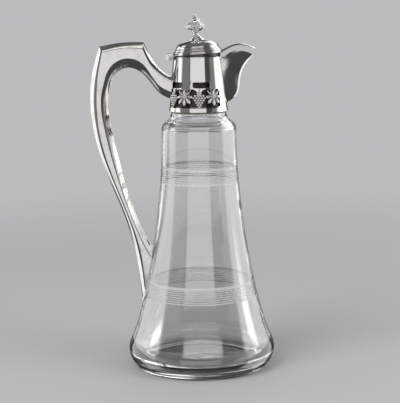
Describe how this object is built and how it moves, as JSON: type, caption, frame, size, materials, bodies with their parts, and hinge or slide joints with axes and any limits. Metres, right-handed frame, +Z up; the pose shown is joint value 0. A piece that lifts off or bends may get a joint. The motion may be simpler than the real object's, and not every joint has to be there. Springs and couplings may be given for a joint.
{
  "type": "claret jug",
  "caption": "Clear glass claret jug with a silver collar, hinged lid, faceted hollow handle and a pierced vine frieze.",
  "frame": {"origin": "centre of the foot ring on the surface that the jug stands on", "axes": "+Z up along the jug's turned axis, +X towards the spout, -X towards the handle"},
  "size_m": [0.1485, 0.1206, 0.2878],
  "materials": {
    "silver": "polished",
    "glass": "clear polished",
    "cement": "matte"
  },
  "bodies": {
    "jug": {"glass_body": "glass", "neck_cement_upper": "cement", "neck_cement_lower": "cement", "collar_sleeve": "silver", "collar_rim_band": "silver", "collar_foot_band": "silver", "vine_leaves": "silver", "grape_bunches": "silver", "vine_stems": "silver", "spout_shell": "silver", "spout_lip": "silver", "handle_left_shell": "silver", "handle_right_shell": "silver", "handle_foot_plate": "silver", "handle_foot_bed": "cement", "hinge_bracket": "silver", "hinge_pin": "silver"},
    "lid": {"lid_flange": "silver", "lid_dome": "silver", "lid_locating_ring": "silver", "lid_hinge_leaf": "silver", "finial_ring": "silver", "finial_calyx": "silver", "finial_drop": "glass", "finial_stud": "silver", "finial_washer": "silver", "finial_nut": "silver"}
  },
  "joints": [
    {"name": "lid_hinge", "type": "hinge", "parent": "jug", "child": "lid", "pos_m": [-0.0245, 0, 0.2528], "axis": [0, -1, 0], "range_deg": [-4, 86]}
  ]
}
